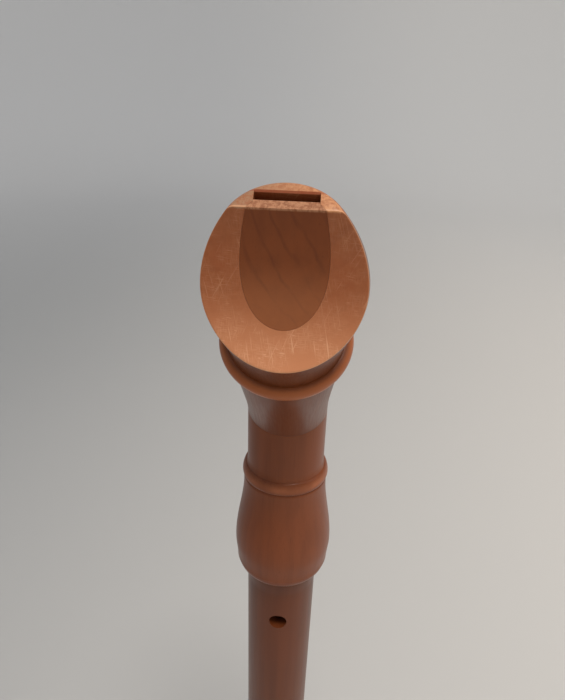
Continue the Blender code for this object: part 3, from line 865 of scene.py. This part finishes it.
def finishBeak(parts, wood):
    # bare oiled wood on the scoop, its rim and the end face, with the fine scratches that sanding leaves, and
    # painted light on top: the scoop's foot painted lighter, the end face painted lighter towards -X, and a
    # painted highlight along the rim
    tree, vector, marks = parts["tree"], parts["vector"], beakMarks
    scoop, tip = headPiece["scoopRadius"], headPiece["length"]
    fromScoop = addFromScoop(tree, vector)
    height = addAxis(tree, vector, "Z")
    onScoop = addFade(tree, fromScoop, scoop, marks["onScoop"])
    aboveRing = addFade(tree, height, ringHigh, marks["aboveRing"])
    atTip = addFade(tree, height, tip, marks["atTip"])
    bare = addMath(tree, "MAXIMUM", addProduct(tree, onScoop, aboveRing), atTip)

    scratches = 0.0
    for lines in wood["scratches"]:
        scratches = addMath(tree, "MAXIMUM", addScratches(tree, vector, lines), scratches)
    patches = addPatches(tree, vector, marks["scratchPatches"])
    scratched = (widestHeight - scoopHeight, marks["scratchedTo"])
    lowFace = addFade(tree, height, scoopHeight, scratched, marks["scratchLeast"])
    scratches = addProduct(tree, scratches, patches, lowFace, bare)

    rings = addProduct(tree, addRings(tree, vector, wood["bareRings"]), wood["bareRings"]["ringDepth"])
    fibres = addRange(tree, parts["fibres"], *marks["bareFibres"], 0.0, marks["fibreDepth"])
    blotches = addPatches(tree, vector, marks["blotches"], 0.0, marks["blotchDepth"])
    # painted light: the scoop is painted lighter towards its foot, where it faces up into the overhead light,
    # and stays darker up its steep part
    litScoopFade = addFade(tree, height, scoopHeight, marks["litScoopFade"], 0.0, marks["litScoopFadeDepth"])
    # painted light: the end grain is painted darker towards +X and lighter towards -X, for light falling from
    # that side
    sideLight = addFade(tree, addAxis(tree, vector, "X"), 0.0, (wood["sideLightReach"], -wood["sideLightReach"]))
    endGrain = addMix(tree, sideLight, wood["shadedEndGrain"], wood["litEndGrain"])
    # painted highlight: a narrow light band along the scoop's rim, where the edge would catch the light
    rimHighlightIn = addFade(tree, fromScoop, scoop, marks["rimHighlightIn"])
    rimHighlightOut = addFade(tree, fromScoop, scoop, marks["rimHighlightOut"])

    clear = addMix(tree, rings, wood["bareLight"], wood["bareDark"])
    clear = addMix(tree, fibres, clear, wood["bareFibre"])
    clear = addMix(tree, blotches, clear, wood["bareWarm"])
    clear = addMix(tree, litScoopFade, clear, wood["litScoopColour"])
    clear = addMix(tree, endGrainMask(tree, vector), clear, endGrain)
    clear = addMix(tree, addProduct(tree, scratches, marks["scratchDepth"]), clear, wood["scratch"])
    clear = addMix(tree, addProduct(tree, rimHighlightIn, rimHighlightOut, marks["rimHighlightDepth"]), clear, wood["paintedHighlight"])
    roofEdge = addProduct(tree, addRoofEdge(tree, vector, height), marks["roofDepth"])
    clear = addMix(tree, roofEdge, clear, wood["roofEdge"])

    ringStart = addFade(tree, height, ringLow, marks["ringStart"])
    ringEnd = addFade(tree, height, ringHigh, marks["ringEnd"])
    onRing = addProduct(tree, ringStart, ringEnd, marks["ringDepth"])
    stained = addMix(tree, onRing, parts["colour"], wood["ring"])
    parts["colour"] = addMix(tree, bare, stained, clear)
    matt = addProduct(tree, bare, wood["bareRoughness"] - wood["roughness"])
    parts["roughness"] = addMath(tree, "ADD", parts["roughness"], matt)
    dents = addProduct(tree, scratches, marks["scratchRelief"])
    parts["relief"] = addMath(tree, "SUBTRACT", parts["relief"], dents)


beakWood = {
    **darker(stainedWood, 0.60),
    "finish": finishBeak,
    "pith": (-16.0, 46.0, 0.0),
    "ring": (0.500, 0.138, 0.036),
    "bareLight": (0.360, 0.108, 0.036),
    "bareDark": (0.260, 0.070, 0.022),
    "bareFibre": (0.300, 0.086, 0.028),
    "bareWarm": (0.345, 0.088, 0.026),
    # lit colour of the painted light on the scoop's foot, also used by the block
    "litScoopColour": (0.690, 0.280, 0.130),
    # painted side light on the end face: how far it reaches to each side of the axis, then its shaded and its
    # lit colour
    "sideLightReach": 8.0,
    "shadedEndGrain": (0.360, 0.180, 0.092),
    "litEndGrain": (0.640, 0.285, 0.128),
    "roofEdge": (0.360, 0.080, 0.030),
    "scratch": (0.820, 0.440, 0.250),
    # colour of the painted highlight on the scoop's rim
    "paintedHighlight": (0.800, 0.420, 0.220),
    "bareRoughness": 0.46,
    "scratches": [
        {"tip": 0.04, "stretch": (0.06, 1, 1), "scale": 8600.0, "low": 0.46, "high": 0.70, "depth": 0.38},
        {"tip": -0.05, "stretch": (1, 0.10, 0.07), "scale": 8000.0, "low": 0.46, "high": 0.70, "depth": 0.38},
        {"tip": 0.16, "stretch": (0.014, 1, 1), "scale": 5200.0, "low": 0.63, "high": 0.72, "depth": 0.85},
        {"tip": -0.30, "stretch": (1, 0.03, 0.016), "scale": 4600.0, "low": 0.64, "high": 0.73, "depth": 0.9},
        {"tip": 0.55, "stretch": (1, 0.04, 0.02), "scale": 3900.0, "low": 0.66, "high": 0.74, "depth": 0.8},
    ],
    "bareRings": {"pith": (18.0, -60.0, 0.0), "ringSpacing": 2.4, "ringWander": 55.0,
                  "ringUneven": 0.8, "ringDepth": 0.40, "lateWood": 0.60},
}


def makeHead():
    material = makeWood("oiledBeakWood", headFrame, beakWood)
    head = makeHeadBlank()
    head.data.materials.append(material)
    reach = cutters["reach"]
    bore = rod("boreCutter", joints["headBore"], -reach, headPiece["length"] + reach, headFrame)
    mitre = mitreBlock("headMitre", -1)
    carve(head, [bore, windwayCutter(), roofChamferCutter(), windowCutter(), mitre])
    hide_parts("head_mouthpiece")
    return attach(head, "head")


head = makeHead()
print("head made:", len(head.data.polygons), "faces")


# Block, which closes the bore below the windway

# the last two entries set where, and how strongly, the block's foot is painted lighter as painted light
blockPiece = {"clearance": 0.04, "sides": 150, "scoopSteps": 90, "litBlockFoot": (15.5, 7.5), "litBlockFootDepth": 0.85}


def finishBlock(parts, wood):
    # painted light: lighter towards the foot of the scoop, where the block faces up into the overhead light;
    # and, as its own colour, lighter at its end grain
    tree, vector = parts["tree"], parts["vector"]
    height = addAxis(tree, vector, "Z")
    litBlockFoot = addFade(tree, height, scoopHeight, blockPiece["litBlockFoot"], 0.0, blockPiece["litBlockFootDepth"])
    colour = addMix(tree, litBlockFoot, parts["colour"], addMix(tree, 0.5, parts["colour"], wood["litScoopColour"]))
    parts["colour"] = addMix(tree, endGrainMask(tree, vector), colour, wood["endGrain"])


blockWood = {
    **stainedWood,
    "finish": finishBlock,
    "light": (0.205, 0.054, 0.014),
    "dark": (0.100, 0.026, 0.009),
    "pale": (0.200, 0.062, 0.021),
    "warm": (0.235, 0.056, 0.012),
    "pore": (0.100, 0.027, 0.009),
    "litScoopColour": (0.430, 0.150, 0.058),
    "endGrain": (0.480, 0.220, 0.110),
    "pith": (-28.0, -31.0, 0.0),
    "ringSpacing": 2.9,
    "ringWander": 110.0,
    "ringUneven": 1.9,
    "ringDepth": 0.62,
    "lateWood": 0.74,
    "streakDepth": 0.35,
    "fibreDepth": 0.25,
    "mottleDepth": 0.60,
    "poreDepth": 0.25,
    "roughness": 0.50,
    "bump": 0.15,
    "coat": 0.0,
}


def scoopCutter():
    # the same hollow as the beak's, for the block that lies flush in it
    lowest = scoopDepthAt(scoopHeight - 3.0)
    curve = []
    for step in range(blockPiece["scoopSteps"] + 1):
        height = headPiece["length"] + 1.0 - (headPiece["scoopDrop"] + 4.0) * step / blockPiece["scoopSteps"]
        curve.append((scoopDepthAt(height), height))
    outside = lowest + cutters["reach"]
    outline = curve + [(outside, curve[-1][1]), (outside, curve[0][1])]
    return slab("scoopCutter", outline, cutters["halfWidth"], headFrame)


def blockTopCutter():
    # takes the block down to the windway's floor, with a bevel at the entrance
    floorEntry = roofEntry + windway["entryHeight"]
    floorExit = roofExit + windway["exitHeight"]
    slope = (floorEntry - floorExit) / windway["length"]
    low = windwayExit - windway["window"]
    tip = headPiece["length"]
    bevel, reach = windway["chamfer"], cutters["bevelReach"]
    outline = [(floorExit - slope * windway["window"], low), (-cutters["reach"], low),
               (-cutters["reach"], tip + reach), (floorEntry + reach + bevel, tip + reach),
               (floorEntry - slope * bevel, tip - bevel)]
    return slab("blockTopCutter", outline, cutters["halfWidth"], headFrame)


def blockSection(height):
    # round in the bore, with straight cheeks that rise between the sides of the windway
    radius = joints["headBore"] - blockPiece["clearance"]
    half = windwayHalfWidth(height) - blockPiece["clearance"]
    first = math.asin(half / radius)
    points = []
    for angle in np.linspace(first, 2 * math.pi - first, blockPiece["sides"] + 1):
        points.append((radius * math.sin(angle), -radius * math.cos(angle), height))
    return points + [(-half, roofExit, height), (half, roofExit, height)]


def makeBlockBlank():
    shape = bmesh.new()
    low, high = [[shape.verts.new(point) for point in blockSection(height)]
                 for height in (windwayExit, headPiece["length"])]
    skin(shape, [low, high])
    shape.faces.new(low)
    shape.faces.new(high)
    return fromShape("windwayBlock", shape, headFrame)


def makeBlock():
    block = makeBlockBlank()
    block.data.materials.append(makeWood("blockWood", headFrame, blockWood))
    carve(block, [blockTopCutter(), scoopCutter()])
    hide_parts("windway_block")
    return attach(block, "block")


block = makeBlock()
print("block made:", len(block.data.polygons), "faces")


# Neck: from the mitre down to the socket

neckPiece = {
    "beadDrop": 19.6,
    "beadHalfWidth": 1.8,
    "beadLift": 1.3,
    "grooveLift": 0.6,
    "filletLift": 0.4,
    "beadSag": 1.35,
    "coveLift": 0.3,
    "coveRise": 1.9,
    "lipRadius": 1.3,
    "lipWall": 3.5,
    "bulgeWall": 4.25,
    "lipRound": 2.8,
    "bulgeRise": 9.8,
    "lipSteps": 12,
    "bulgeSteps": 18,
    "shoulderSteps": 36,
    "coveSteps": 10,
    "seed": 3.1,
    # the last two entries break up the painted highlight on the bead's crest
    "crestHighlightPatches": {"stretch": (1, 1, 1), "scale": 160.0, "low": 0.3, "high": 0.7},
    "crestHighlightDepth": (0.25, 0.65),
}


def neckOutline():
    lip = -joints["neckLength"]
    radius = joints["neckRadius"]
    lipCorner = (upperSocket + neckPiece["lipWall"], lip + neckPiece["lipRound"])
    bulge = (upperSocket + neckPiece["bulgeWall"], lip + neckPiece["bulgeRise"])
    beadLow = -neckPiece["beadDrop"] - neckPiece["beadHalfWidth"]
    beadHigh = -neckPiece["beadDrop"] + neckPiece["beadHalfWidth"]
    groove = radius + neckPiece["grooveLift"]
    fillet = (groove + neckPiece["filletLift"], beadLow - 2 * neckPiece["filletLift"])
    outer = [(upperSocket + neckPiece["lipRadius"], lip)]
    outer += roundOut(outer[-1], lipCorner, neckPiece["lipSteps"])
    outer += [(lipCorner[0] + neckPiece["filletLift"] / 2, lipCorner[1])]
    outer += swell(outer[-1], bulge, neckPiece["bulgeSteps"])
    shoulder = (fillet[0], fillet[1] - 3 * neckPiece["filletLift"])
    outer += swell(outer[-1], shoulder, neckPiece["shoulderSteps"])
    outer += [fillet, (groove, beadLow)]
    cove = (radius + neckPiece["coveLift"], beadHigh)
    lift = neckPiece["beadLift"] - (neckPiece["grooveLift"] + neckPiece["coveLift"]) / 2
    outer += bead(outer[-1], cove, lift, sag=neckPiece["beadSag"])
    for share in np.linspace(0.0, 1.0, neckPiece["coveSteps"] + 1)[1:]:
        lift = neckPiece["coveLift"] * (1 - share) ** 2
        outer.append((radius + lift, beadHigh + neckPiece["coveRise"] * share))
    outer += [(radius, cutters["reach"])]
    socketTop = lip + joints["upperTenonLength"]
    inner = [(joints["headBore"], cutters["reach"]), (joints["headBore"], socketTop),
             (upperSocket, socketTop), (upperSocket, lip)]
    return outer + inner


def finishNeck(parts, wood):
    # painted highlight: the bead's crest painted lighter in patches, where it would catch the light
    tree, vector = parts["tree"], parts["vector"]
    height = addAxis(tree, vector, "Z")
    crest, reach = -neckPiece["beadDrop"], neckPiece["beadHalfWidth"]
    below = addFade(tree, height, crest, (-reach, 0.0))
    above = addFade(tree, height, crest, (reach, 0.0))
    crestHighlightPatches = addPatches(tree, vector, neckPiece["crestHighlightPatches"], *neckPiece["crestHighlightDepth"])
    parts["colour"] = addMix(tree, addProduct(tree, below, above, crestHighlightPatches), parts["colour"], wood["paintedHighlight"])


neckWood = {
    **darker(stainedWood, 0.80),
    "finish": finishNeck,
    # colour of the painted highlight on the bead's crest
    "paintedHighlight": (0.480, 0.150, 0.058),
}


def makeNeck():
    material = makeWood("neckWood", neckFrame, neckWood)
    neck = turn("headNeck", neckOutline(), neckFrame, material, neckPiece["seed"])
    carve(neck, [mitreBlock("neckMitre", 1)])
    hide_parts("head_neck")
    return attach(neck, "head")


neck = makeNeck()
print("neck made:", len(neck.data.polygons), "faces")


# Middle joint with its holes

# Holes are (drop below the top shoulder, radius, offset to one side, side that it faces)
bodyPiece = {
    "boreTop": 6.6,
    "boreBottom": 5.0,
    "topShoulder": 1.3,
    "bottomShoulder": 1.4,
    "topFlare": 0.4,
    "topFlareLength": 6.0,
    "topFlareSteps": 12,
    "corkInset": 3.5,
    "upperCorkEnd": 3.5,
    "lowerCorkEnd": 1.5,
    "seed": 8.4,
    "soften": 0.45,
    "holeDepth": 24.0,
    "holeUndercut": 1.1,
    "holeSides": 72,
    "holes": [
        (16.5, 2.5, 0.0, 1),
        (21.5, 2.5, 0.0, -1),
        (39.0, 2.8, 0.0, -1),
        (56.0, 2.6, 0.0, -1),
        (76.0, 2.9, 0.0, -1),
        (93.0, 2.8, 0.0, -1),
        (111.0, 1.8, 2.5, -1),
        (111.0, 1.3, -2.5, -1),
    ],
}

upperCork = (bodyLength + bodyPiece["corkInset"],
             bodyLength + joints["upperTenonLength"] - bodyPiece["upperCorkEnd"])
lowerCork = (-joints["lowerTenonLength"] + bodyPiece["lowerCorkEnd"], -bodyPiece["corkInset"])


def corkGroove(tenonRadius, lap):
    seat = tenonRadius - joints["corkDepth"]
    return [(tenonRadius, lap[0]), (seat, lap[0]), (seat, lap[1]), (tenonRadius, lap[1])]


def bodyOutline():
    topRadius = joints["upperTenonRadius"] + bodyPiece["topShoulder"]
    lowTenon = joints["lowerTenonRadius"]
    flareLow = (topRadius - bodyPiece["topFlare"], bodyLength - bodyPiece["topFlareLength"])
    outer = [(lowTenon, -joints["lowerTenonLength"])]
    outer += corkGroove(lowTenon, lowerCork)
    outer += [(lowTenon, 0.0), (lowTenon + bodyPiece["bottomShoulder"], 0.0), flareLow]
    outer += swell(flareLow, (topRadius, bodyLength), bodyPiece["topFlareSteps"])
    outer += [(joints["upperTenonRadius"], bodyLength)]
    outer += corkGroove(joints["upperTenonRadius"], upperCork)
    outer += [(joints["upperTenonRadius"], bodyLength + joints["upperTenonLength"])]
    inner = [(bodyPiece["boreTop"], bodyLength + joints["upperTenonLength"]),
             (bodyPiece["boreBottom"], -joints["lowerTenonLength"])]
    return outer + inner


# painted shade: the middle joint and foot are painted darker than the head, for the light that falls off
# lower down
shadedLowWood = darker(stainedWood, 0.54)


def makeBody():
    material = makeWood("bodyWood", bodyFrame, shadedLowWood)
    body = turn("middleJoint", bodyOutline(), bodyFrame, material, bodyPiece["seed"], bodyPiece["soften"])
    drillHoles(body, bodyLength, bodyFrame, bodyPiece, material)
    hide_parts("middle_joint")
    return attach(body, "middle")


body = makeBody()
print("middle joint made:", len(body.data.polygons), "faces")


# Cork laps on the tenons

corkPiece = {
    "seatGap": 0.05,
    "endGap": 0.1,
    "soften": 0.4,
    "upperSeed": 5.0,
    "lowerSeed": 6.0,
    "grainScale": 1300.0,
    "specks": {"stretch": (1, 1, 1), "scale": 900.0, "detail": 3.0, "low": 0.58, "high": 0.66},
    "dark": (0.46, 0.27, 0.14),
    "light": (0.60, 0.39, 0.22),
    "speck": (0.17, 0.08, 0.04),
    "roughness": (0.75, 0.9),
    "bump": 0.5,
    "reliefDepth": 0.06,
}


def makeCork():
    material = bpy.data.materials.new("lapCork")
    material.use_nodes = True
    tree = material.node_tree
    shader = tree.nodes["Principled BSDF"]
    vector = grainCoordinates(tree, bodyFrame)
    grains = addNode(tree, "ShaderNodeTexVoronoi", {"Vector": vector, "Scale": corkPiece["grainScale"]})
    specks = addPatches(tree, vector, corkPiece["specks"])
    split = addNode(tree, "ShaderNodeSeparateColor", {0: grains.outputs["Color"]})
    shade = addRange(tree, split.outputs[0], 0.0, 1.0)
    colour = addMix(tree, shade, corkPiece["dark"], corkPiece["light"])
    colour = addMix(tree, specks, colour, corkPiece["speck"])
    relief = addMath(tree, "SUBTRACT", grains.outputs["Distance"], specks)
    bump = addNode(tree, "ShaderNodeBump", {"Height": relief, "Strength": corkPiece["bump"],
                   "Distance": corkPiece["reliefDepth"] * mm})
    roughness = addRange(tree, shade, 0.0, 1.0, *corkPiece["roughness"])
    tree.links.new(colour, shader.inputs["Base Color"])
    tree.links.new(roughness, shader.inputs["Roughness"])
    tree.links.new(bump.outputs[0], shader.inputs["Normal"])
    return material


def makeLap(name, node, tenonRadius, socketRadius, lap, seed):
    inner = tenonRadius - joints["corkDepth"] + corkPiece["seatGap"]
    outer = socketRadius - joints["corkClearance"]
    low, high = lap[0] + corkPiece["endGap"], lap[1] - corkPiece["endGap"]
    outline = [(outer, low), (outer, high), (inner, high), (inner, low)]
    piece = turn(name, outline, bodyFrame, cork, corkPiece[seed], corkPiece["soften"])
    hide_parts(node)
    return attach(piece, "middle")


cork = makeCork()
makeLap("upperTenonLap", "upper_tenon_lap", joints["upperTenonRadius"], upperSocket, upperCork, "upperSeed")
makeLap("lowerTenonLap", "lower_tenon_lap", joints["lowerTenonRadius"], lowerSocket, lowerCork, "lowerSeed")
print("cork laps made")


# Foot

# Holes are as on the middle joint, with drops below the socket's floor
footPiece = {
    "bore": 5.2,
    "socketWall": 3.0,
    "lipWall": 4.1,
    "bulgeWall": 4.7,
    "lipRound": 2.2,
    "bulgeDrop": 9.0,
    "waistWall": 4.6,
    "beadDrop": 28.0,
    "beadHalfWidth": 1.4,
    "beadLift": 1.1,
    "bellWall": 7.4,
    "endBeadLift": 1.1,
    "endBeadLow": 1.2,
    "endBeadHigh": 6.2,
    "endRound": 0.5,
    "bellHeight": 7.2,
    "steps": {"end": 6, "bell": 34, "bead": 18, "bulge": 28, "lip": 12, "lipRound": 10},
    "pith": (-30.0, 20.0, 0.0),
    "seed": 1.7,
    "holeTurn": 12.0,
    "holeDepth": 24.0,
    "holeUndercut": 1.1,
    "holeSides": 72,
    "holes": [(4.5, 1.7, 2.4, -1), (4.5, 1.3, -2.4, -1)],
}


def footOutline():
    top = footHigh.z
    bell = footPiece["bore"] + footPiece["bellWall"]
    waist = footPiece["bore"] + footPiece["waistWall"]
    lipCorner = (lowerSocket + footPiece["lipWall"], top - footPiece["lipRound"])
    bulge = (lowerSocket + footPiece["bulgeWall"], top - footPiece["bulgeDrop"])
    beadLow = top - footPiece["beadDrop"] - footPiece["beadHalfWidth"]
    beadHigh = top - footPiece["beadDrop"] + footPiece["beadHalfWidth"]
    steps = footPiece["steps"]
    outer = [(bell - footPiece["endRound"], 0.0)]
    outer += roundOut(outer[-1], (bell, footPiece["endRound"]), steps["end"])
    outer += [(bell, footPiece["endBeadLow"])]
    outer += bead(outer[-1], (bell, footPiece["endBeadHigh"]), footPiece["endBeadLift"])
    outer += [(bell, footPiece["bellHeight"])]
    outer += swell(outer[-1], (waist, beadLow), steps["bell"])
    outer += bead(outer[-1], (waist, beadHigh), footPiece["beadLift"], steps["bead"])
    outer += swell(outer[-1], bulge, steps["bulge"])
    outer += swell(outer[-1], lipCorner, steps["lip"])
    outer += roundIn(outer[-1], (lowerSocket + footPiece["socketWall"], top), steps["lipRound"])
    floor = top - joints["lowerTenonLength"]
    inner = [(lowerSocket, top), (lowerSocket, floor), (footPiece["bore"], floor), (footPiece["bore"], 0.0)]
    return outer + inner


def makeFoot():
    material = makeWood("footWood", footFrame, {**shadedLowWood, "pith": footPiece["pith"]})
    foot = turn("footJoint", footOutline(), footFrame, material, footPiece["seed"])
    floor = footHigh.z - joints["lowerTenonLength"]
    turned = footFrame @ Matrix.Rotation(math.radians(footPiece["holeTurn"]), 4, "Z")
    drillHoles(foot, floor, turned, footPiece, material)
    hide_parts("foot_joint")
    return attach(foot, "foot")


foot = makeFoot()
print("foot made:", len(foot.data.polygons), "faces")


# Camera, light and backdrop

view = {
    "place": (-6.158, 130.984, 79.455),
    "pitch": 25.904,
    "yaw": -3.52,
    "roll": 1.923,
    "lens": 29.665,
}


def makeCamera():
    camera = bpy.data.cameras.new("camera")
    camera.lens = view["lens"]
    camera.clip_start = 0.01
    piece = bpy.data.objects.new("camera", camera)
    bpy.context.scene.collection.objects.link(piece)
    spin = Matrix.Rotation(math.radians(180 - view["yaw"]), 4, "Z")
    tip = Matrix.Rotation(math.radians(90 - view["pitch"]), 4, "X")
    roll = Matrix.Rotation(math.radians(view["roll"]), 4, "Z")
    bend = neckFrame.to_translation()
    piece.matrix_world = Matrix.Translation((bend + Vector(view["place"])) * mm) @ spin @ tip @ roll
    bpy.context.scene.camera = piece


lights = {
    "overhead": {"place": (-0.22, 0.50, 1.75), "aim": (0, 0, 0.26), "size": 0.60, "power": 17.5,
                 "colour": (1.0, 0.955, 0.90)},
    "right": {"place": (-1.30, 0.10, 1.10), "aim": (-0.3, -0.4, 0.0), "size": 0.9, "power": 2.0,
              "colour": (1.0, 0.93, 0.85)},
}


def makeLights():
    for name, light in lights.items():
        lamp = bpy.data.lights.new(name, "AREA")
        lamp.shape = "DISK"
        lamp.size = light["size"]
        lamp.energy = light["power"]
        lamp.color = light["colour"]
        piece = bpy.data.objects.new(name, lamp)
        bpy.context.scene.collection.objects.link(piece)
        away = Vector(light["place"]) - Vector(light["aim"])
        facing = away.to_track_quat("Z", "Y").to_matrix().to_4x4()
        piece.matrix_world = Matrix.Translation(light["place"]) @ facing
        piece.visible_camera = False


# All lengths of the backdrop are in metres
backdrop = {
    "flat": 1.5,
    "bend": 0.9,
    "height": 2.3,
    "sides": 128,
    # painted light: the paper is painted darker towards +X and lighter towards -X, a falloff of light across
    # floor and wall, blended over blendWidth to each side of the axis
    "shadedFloor": (0.390, 0.392, 0.388),
    "litFloor": (0.815, 0.770, 0.710),
    "shadedWall": (0.740, 0.735, 0.725),
    "litWall": (0.900, 0.880, 0.845),
    "blendWidth": 0.55,
    "bendSteps": 25,
    "onWall": (0.5, 2.1),
    "roughness": 0.8,
    "sky": (0.84, 0.90, 1.0),
    "skyStrength": 0.42,
}


def makeWorld():
    world = bpy.data.worlds.new("studio")
    world.use_nodes = True
    sky = world.node_tree.nodes["Background"]
    sky.inputs["Color"].default_value = (*backdrop["sky"], 1.0)
    sky.inputs["Strength"].default_value = backdrop["skyStrength"]
    bpy.context.scene.world = world


def makePaper():
    material = bpy.data.materials.new("palePaper")
    material.use_nodes = True
    tree = material.node_tree
    shader = tree.nodes["Principled BSDF"]
    raw = tree.nodes.new("ShaderNodeTexCoord").outputs["Object"]
    # painted light: darker towards +X, lighter towards -X
    side = addRange(tree, addAxis(tree, raw, "X"), backdrop["blendWidth"], -backdrop["blendWidth"])
    out = addNode(tree, "ShaderNodeVectorMath", {0: raw}, operation="LENGTH").outputs["Value"]
    onWall = addRange(tree, out, *backdrop["onWall"])
    floor = addMix(tree, side, backdrop["shadedFloor"], backdrop["litFloor"])
    wall = addMix(tree, side, backdrop["shadedWall"], backdrop["litWall"])
    tree.links.new(addMix(tree, onWall, floor, wall), shader.inputs["Base Color"])
    shader.inputs["Roughness"].default_value = backdrop["roughness"]
    return material


def makeBackdrop():
    # round paper sweep: a flat floor that bends up into a wall on every side
    bend, sides = backdrop["bend"], backdrop["sides"]
    profile = [(backdrop["flat"] + bend * math.sin(rise), bend * (1 - math.cos(rise)))
               for rise in np.linspace(0, math.pi / 2, backdrop["bendSteps"])]
    profile.append((backdrop["flat"] + bend, backdrop["height"]))
    shape = bmesh.new()
    rings = []
    for radius, height in profile:
        around = [2 * math.pi * step / sides for step in range(sides)]
        rings.append([shape.verts.new((radius * math.cos(angle), radius * math.sin(angle), height))
                      for angle in around])
    shape.faces.new(rings[0])
    skin(shape, rings[::-1])
    mesh = bpy.data.meshes.new("backdrop")
    shape.to_mesh(mesh)
    shape.free()
    mesh.materials.append(makePaper())
    mesh.shade_smooth()
    linkMesh("backdrop", mesh)


makeCamera()
makeLights()
makeWorld()
makeBackdrop()
bpy.context.scene.view_settings.view_transform = "Standard"
print("camera, lights and backdrop made")
